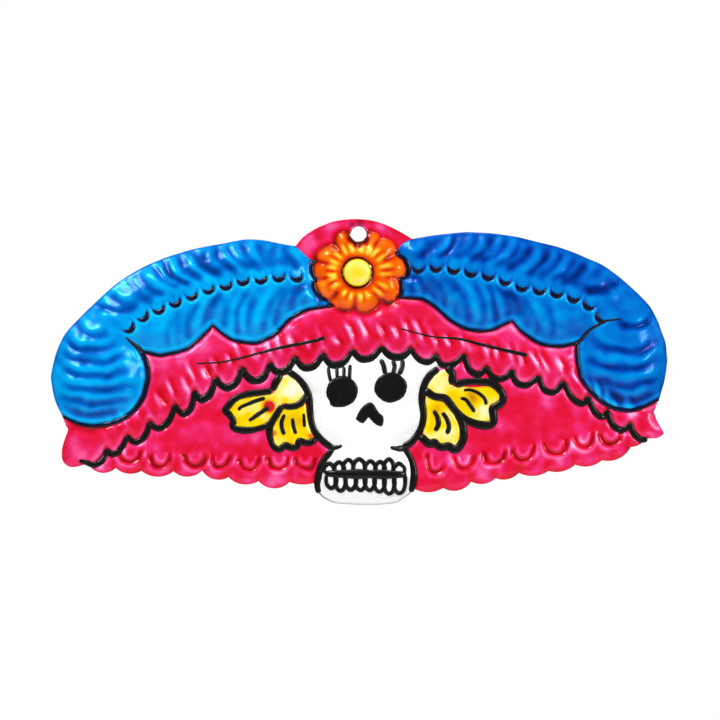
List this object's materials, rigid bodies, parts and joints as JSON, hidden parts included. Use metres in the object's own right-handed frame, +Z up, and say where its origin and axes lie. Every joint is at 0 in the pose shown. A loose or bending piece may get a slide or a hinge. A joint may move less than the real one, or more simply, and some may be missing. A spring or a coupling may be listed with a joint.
{
  "type": "hanging ornament",
  "caption": "Embossed, hand-painted tin catrina ornament: a wide plumed hat with a flower over a skull face, hung by a punched hole.",
  "frame": {"origin": "centre of the punched hanging hole, on the plane of the sheet's flat back", "axes": "+X to the right of a person who faces the ornament, +Z up, and the painted front faces -Y"},
  "size_m": [0.1268, 0.0038, 0.0589],
  "materials": {
    "bare_tin": "bright rolled tinplate",
    "pink_lacquer": "clear gloss lacquer over tin",
    "blue_lacquer": "clear gloss lacquer over tin",
    "orange_lacquer": "clear gloss lacquer over tin",
    "yellow_lacquer": "clear gloss lacquer over tin",
    "white_enamel": "opaque gloss enamel",
    "black_enamel": "thick raised gloss enamel",
    "navy_enamel": "thick raised gloss enamel"
  },
  "bodies": {
    "root": {"tin_sheet": "bare_tin", "crown_lacquer": "pink_lacquer", "brim_lacquer": "pink_lacquer", "left_veil_lacquer": "pink_lacquer", "right_veil_lacquer": "pink_lacquer", "left_plume_lacquer": "blue_lacquer", "right_plume_lacquer": "blue_lacquer", "flower_petals_lacquer": "orange_lacquer", "flower_centre_lacquer": "yellow_lacquer", "left_earring_upper_lacquer": "yellow_lacquer", "left_earring_lower_lacquer": "yellow_lacquer", "right_earring_upper_lacquer": "yellow_lacquer", "right_earring_lower_lacquer": "yellow_lacquer", "skull_enamel": "white_enamel", "left_plume_line": "navy_enamel", "right_plume_line": "navy_enamel", "brim_edge_line": "black_enamel", "left_crease_line": "black_enamel", "right_crease_line": "black_enamel", "left_cheek_line": "black_enamel", "right_cheek_line": "black_enamel", "left_earring_line": "black_enamel", "right_earring_line": "black_enamel", "left_eye_and_lashes": "black_enamel", "right_eye_and_lashes": "black_enamel", "nose_line": "black_enamel", "teeth_line": "black_enamel", "left_leaf_vein_1": "black_enamel", "left_leaf_vein_2": "black_enamel", "left_leaf_vein_3": "black_enamel", "left_leaf_vein_4": "black_enamel", "left_leaf_vein_5": "black_enamel", "right_leaf_vein_1": "black_enamel", "right_leaf_vein_2": "black_enamel", "right_leaf_vein_3": "black_enamel", "right_leaf_vein_4": "black_enamel"}
  },
  "joints": []
}
